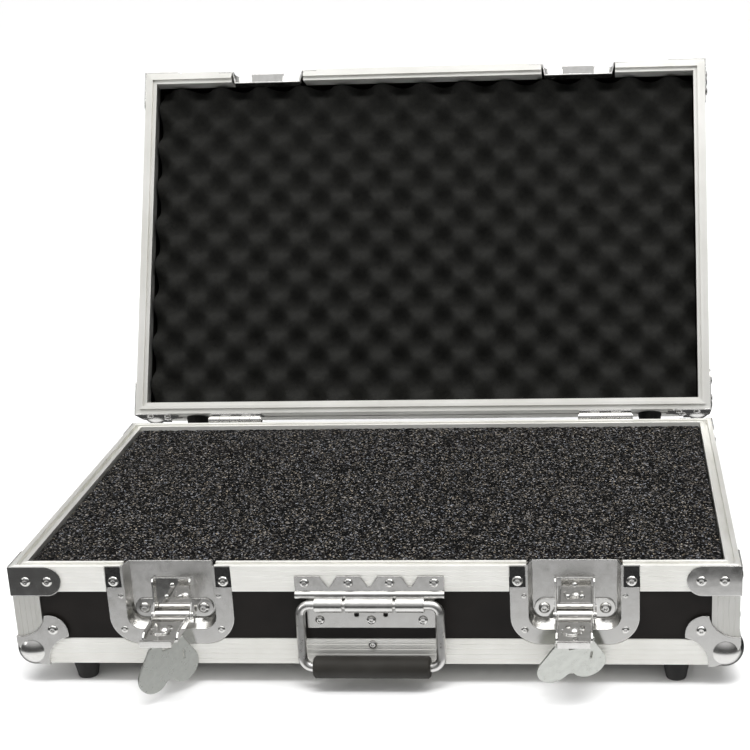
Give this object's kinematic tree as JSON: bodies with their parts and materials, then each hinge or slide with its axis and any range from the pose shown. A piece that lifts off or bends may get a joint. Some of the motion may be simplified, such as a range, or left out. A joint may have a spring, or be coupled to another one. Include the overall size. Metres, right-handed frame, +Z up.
{
  "type": "guitar pedal case",
  "caption": "Shallow flight case, lid open: aluminium edging, black panels, ball corners, recessed twist latches, carrying handle, foam lining.",
  "frame": {"origin": "on the floor under the middle of the open case's footprint", "axes": "+X to the right as seen from the front, +Y from the front to the hinges, +Z up"},
  "size_m": [0.6096, 0.6516, 0.4482],
  "materials": {
    "laminated_panel": "black fine textured laminate on plywood",
    "aluminium_edging": "satin anodised, fluted along its length",
    "plated_steel": "bright zinc or chrome plated",
    "black_tab": "black",
    "grip_rubber": "matt",
    "foot_rubber": "matt",
    "foam": "open cell",
    "felt_lining": "short pile"
  },
  "bodies": {
    "base": {"base_floor_panel": "laminated_panel", "base_front_panel": "laminated_panel", "base_rear_panel": "laminated_panel", "base_left_panel": "laminated_panel", "base_right_panel": "laminated_panel", "base_lining": "felt_lining", "base_foam": "foam", "base_bottom_edging": "aluminium_edging", "base_corner_edging": "aluminium_edging", "base_rim_front": "aluminium_edging", "base_rim_rear": "aluminium_edging", "base_rim_sides": "aluminium_edging", "base_front_ball_corners": "plated_steel", "base_rear_ball_corners": "plated_steel", "base_rim_braces": "plated_steel", "base_rivets": "plated_steel", "base_feet": "foot_rubber", "foot_screws": "plated_steel", "base_rear_feet": "foot_rubber", "left_latch_dish": "plated_steel", "right_latch_dish": "plated_steel", "latch_tabs": "black_tab", "left_latch_bracket": "plated_steel", "right_latch_bracket": "plated_steel", "latch_pivot_pins": "plated_steel", "latch_rivets": "plated_steel", "handle_plate": "plated_steel", "handle_rivets": "plated_steel", "hinge_base_leaves": "plated_steel", "hinge_pins": "plated_steel"},
    "lid": {"lid_top_panel": "laminated_panel", "lid_front_panel": "laminated_panel", "lid_rear_panel": "laminated_panel", "lid_left_panel": "laminated_panel", "lid_right_panel": "laminated_panel", "lid_foam": "foam", "lid_top_edging": "aluminium_edging", "lid_rim_front": "aluminium_edging", "lid_rim_rear": "aluminium_edging", "lid_rim_sides": "aluminium_edging", "lid_front_ball_corners": "plated_steel", "lid_rear_ball_corners": "plated_steel", "lid_rim_braces": "plated_steel", "lid_rivets": "plated_steel", "lid_latch_dishes": "plated_steel", "latch_keepers": "plated_steel", "hinge_lid_leaves": "plated_steel", "lid_rear_feet": "foot_rubber"},
    "handle": {"handle_bail": "plated_steel", "handle_grip": "grip_rubber"},
    "left_arm": {"left_latch_arm": "plated_steel"},
    "left_key": {"left_latch_key": "plated_steel"},
    "left_hook": {"left_latch_hook": "plated_steel"},
    "left_wing": {"left_latch_wing": "plated_steel"},
    "right_arm": {"right_latch_arm": "plated_steel"},
    "right_key": {"right_latch_key": "plated_steel"},
    "right_hook": {"right_latch_hook": "plated_steel"},
    "right_wing": {"right_latch_wing": "plated_steel"}
  },
  "joints": [
    {"name": "lid_hinge", "type": "hinge", "parent": "base", "child": "lid", "pos_m": [0, 0.10705, 0.1082], "axis": [1, 0, 0], "range_deg": [0, 117]},
    {"name": "handle_swing", "type": "hinge", "parent": "base", "child": "handle", "pos_m": [0, -0.27945, 0.076], "axis": [-1, 0, 0], "range_deg": [0, 86]},
    {"name": "left_arm_swing", "type": "hinge", "parent": "base", "child": "left_arm", "pos_m": [-0.167, -0.26945, 0.0625], "axis": [-1, 0, 0], "range_deg": [0, 90]},
    {"name": "left_key_turn", "type": "hinge", "parent": "left_arm", "child": "left_key", "pos_m": [-0.167, -0.29715, 0.0625], "axis": [0, 0, 1], "range_deg": [-45, 0]},
    {"name": "left_hook_slide", "type": "slide", "parent": "left_arm", "child": "left_hook", "axis": [0, 1, 0], "range_m": [0, 0.004]},
    {"name": "left_wing_fold", "type": "hinge", "parent": "left_key", "child": "left_wing", "pos_m": [-0.167, -0.29715, 0.0525], "axis": [0.6428, 0.766, 0], "range_deg": [-90, 0]},
    {"name": "right_arm_swing", "type": "hinge", "parent": "base", "child": "right_arm", "pos_m": [0.167, -0.26945, 0.0625], "axis": [-1, 0, 0], "range_deg": [0, 90]},
    {"name": "right_key_turn", "type": "hinge", "parent": "right_arm", "child": "right_key", "pos_m": [0.167, -0.29715, 0.0625], "axis": [0, 0, 1], "range_deg": [-45, 0]},
    {"name": "right_hook_slide", "type": "slide", "parent": "right_arm", "child": "right_hook", "axis": [0, 1, 0], "range_m": [0, 0.004]},
    {"name": "right_wing_fold", "type": "hinge", "parent": "right_key", "child": "right_wing", "pos_m": [0.167, -0.29715, 0.0525], "axis": [0.9336, 0.3584, 0], "range_deg": [-108, 0]}
  ],
  "couplings": [
    {"joint": "left_hook_slide", "follows": "left_key_turn", "m_per_rad": -0.0050929},
    {"joint": "right_hook_slide", "follows": "right_key_turn", "m_per_rad": -0.0050929}
  ]
}
